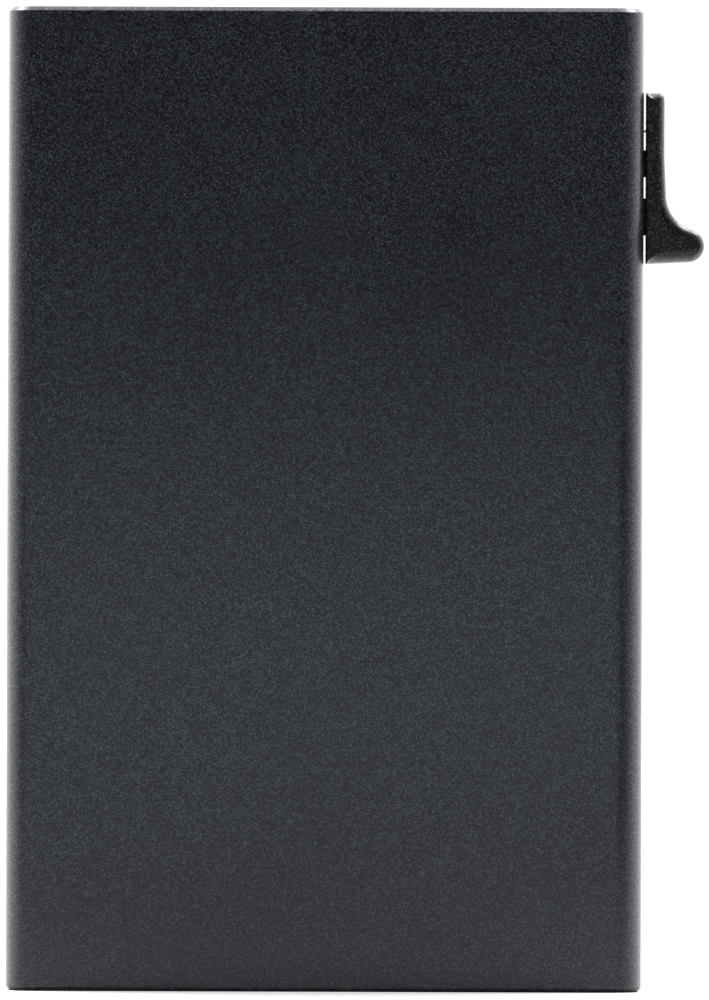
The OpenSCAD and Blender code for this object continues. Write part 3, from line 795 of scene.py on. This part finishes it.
studio = {
    "front": 0.035, "back": 3.8, "fadeFrom": -0.75, "fadeTo": 1.3, "cameraWhite": 1.1,
    "floorHalf": 4, "floor": (0.86, 0.86, 0.865), "floorRoughness": 0.6, "floorGloss": 0.08,
    "dimFrom": 0.08, "dimTo": 0.024, "floorBounce": 0.45, "floorGlow": 0.45,
}
lamps = {
    "overheadBox": {"place": (0, 0.12, 0.7), "target": (0, 0.05, 0), "size": (0.5, 0.4), "power": 1.05},
    "leftBox": {"place": (-0.42, 0.25, 0.7), "target": (0, 0, 0.08), "size": (0.2, 0.2), "power": 3.1},
    "rightBox": {"place": (0.42, 0.25, 0.7), "target": (0, 0, 0.08), "size": (0.24, 0.24), "power": 3.1},
    "lowFill": {"place": (-0.03, -0.11, 0.029), "target": (-0.03, 0, 0.031), "size": (0.22, 0.05),
                "power": 0.0185, "tint": (0.9, 0.97, 1.04)},
}
view = {
    "distance": 1.6, "sideways": 2.90 * mm, "height": 48.06 * mm, "seen": 97.94 * mm, "roll": 0.0034,
    "sensor": 36, "nearest": 0.05, "farthest": 20,
}


def makeWorld(s):
    # soft light from behind and from the sides that fades to a dim room in front: strength is a
    # smooth step of the direction's Y, and what the camera sees directly is plain white
    world = bpy.data.worlds.new("studio")
    bpy.context.scene.world = world
    world.use_nodes = True
    tree = world.node_tree
    tree.nodes.clear()
    direction = addNode(tree, "TexCoord").outputs["Generated"]
    parts = addNode(tree, "SeparateXYZ", Vector=direction)
    strength = addNode(tree, "MapRange", {"interpolation_type": "SMOOTHSTEP"}, Value=parts.outputs[1],
                       i1=s["fadeFrom"], i2=s["fadeTo"], i3=s["front"], i4=s["back"]).outputs[0]
    light = addNode(tree, "Background", Color=(1.0, 1.0, 1.0, 1.0), Strength=strength)
    white = addNode(tree, "Background", Color=(1.0, 1.0, 1.0, 1.0), Strength=s["cameraWhite"])
    seen = addNode(tree, "LightPath").outputs["Is Camera Ray"]
    mix = addNode(tree, "MixShader", i0=seen, i1=light.outputs[0], i2=white.outputs[0])
    tree.links.new(mix.outputs[0], addNode(tree, "OutputWorld").inputs[0])


def softBox(name, place, target, size, power, tint=(1, 1, 1)):
    # rectangular lamp turned towards its target; the camera doesn't see it
    data = bpy.data.lights.new(name, "AREA")
    data.shape, data.size, data.size_y = "RECTANGLE", *size
    data.energy, data.color = power, tint
    lamp = bpy.data.objects.new(name, data)
    bpy.context.scene.collection.objects.link(lamp)
    lamp.location = place
    aim = np.array(target) - np.array(place)
    tilt = math.atan2(math.hypot(aim[0], aim[1]), -aim[2])
    turn = math.atan2(aim[1], aim[0]) - math.pi / 2
    lamp.rotation_euler = (tilt, 0, turn)
    lamp.visible_camera = False


def makeFloor(s):
    # pale floor with painted shade for rays that bounce off the object: diffuse rays see the share
    # floorBounce, a painted shade that cuts the light bounced up from the floor, and glossy rays see
    # the share floorGloss in front of the object, a painted shade seen only in reflections. To the camera
    # it glows a little
    mesh, half = bpy.data.meshes.new("floor"), s["floorHalf"]
    corners = [(-half, -half, 0), (half, -half, 0), (half, half, 0), (-half, half, 0)]
    mesh.from_pydata(corners, [], [(0, 1, 2, 3)])
    floor = bpy.data.objects.new("floor", mesh)
    bpy.context.scene.collection.objects.link(floor)
    material, tree, shader = newMaterial("paleFloor", s["floor"], s["floorRoughness"])
    path = addNode(tree, "LightPath").outputs
    # painted shade: darker copies of the floor's colour, one for mirrored rays and one for scattered rays
    mirroredPaintedShade = tuple(k * s["floorGloss"] for k in s["floor"])
    scatteredPaintedShade = tuple(k * s["floorBounce"] for k in s["floor"])
    bounced = colorBetween(tree, path["Is Diffuse Ray"], s["floor"], scatteredPaintedShade)
    parts = addNode(tree, "SeparateXYZ", Vector=addNode(tree, "TexCoord").outputs["Object"])
    # painted shade for glossy rays: the floor farther in front than dimFrom gets the darker copy, and
    # within dimTo of the object it stays pale
    near = addNode(tree, "MapRange", Value=parts.outputs[1], i1=-s["dimFrom"], i2=-s["dimTo"]).outputs[0]
    reflected = colorBetween(tree, near, mirroredPaintedShade, s["floor"])
    seenColor = colorBetween(tree, path["Is Glossy Ray"], bounced, reflected)
    tree.links.new(seenColor, shader.inputs["Base Color"])
    seen = path["Is Camera Ray"]
    glow = addNode(tree, "Math", {"operation": "MULTIPLY"}, i0=seen, i1=s["floorGlow"]).outputs[0]
    shader.inputs["Emission Color"].default_value = (1, 1, 1, 1)
    tree.links.new(glow, shader.inputs["Emission Strength"])
    mesh.materials.append(material)


makeWorld(studio)
makeFloor(studio)
for name, lamp in lamps.items():
    softBox(name, **lamp)

camera = bpy.data.objects.new("camera", bpy.data.cameras.new("camera"))
bpy.context.scene.collection.objects.link(camera)
bpy.context.scene.camera = camera
camera.data.sensor_width = view["sensor"]
camera.data.lens = view["sensor"] * view["distance"] / view["seen"]
camera.data.clip_start, camera.data.clip_end = view["nearest"], view["farthest"]
camera.location = (view["sideways"], -view["distance"], view["height"])
camera.rotation_euler = (math.pi / 2, -view["roll"], 0)
bpy.context.scene.view_settings.view_transform = "Standard"
print("stage, lights and camera made")
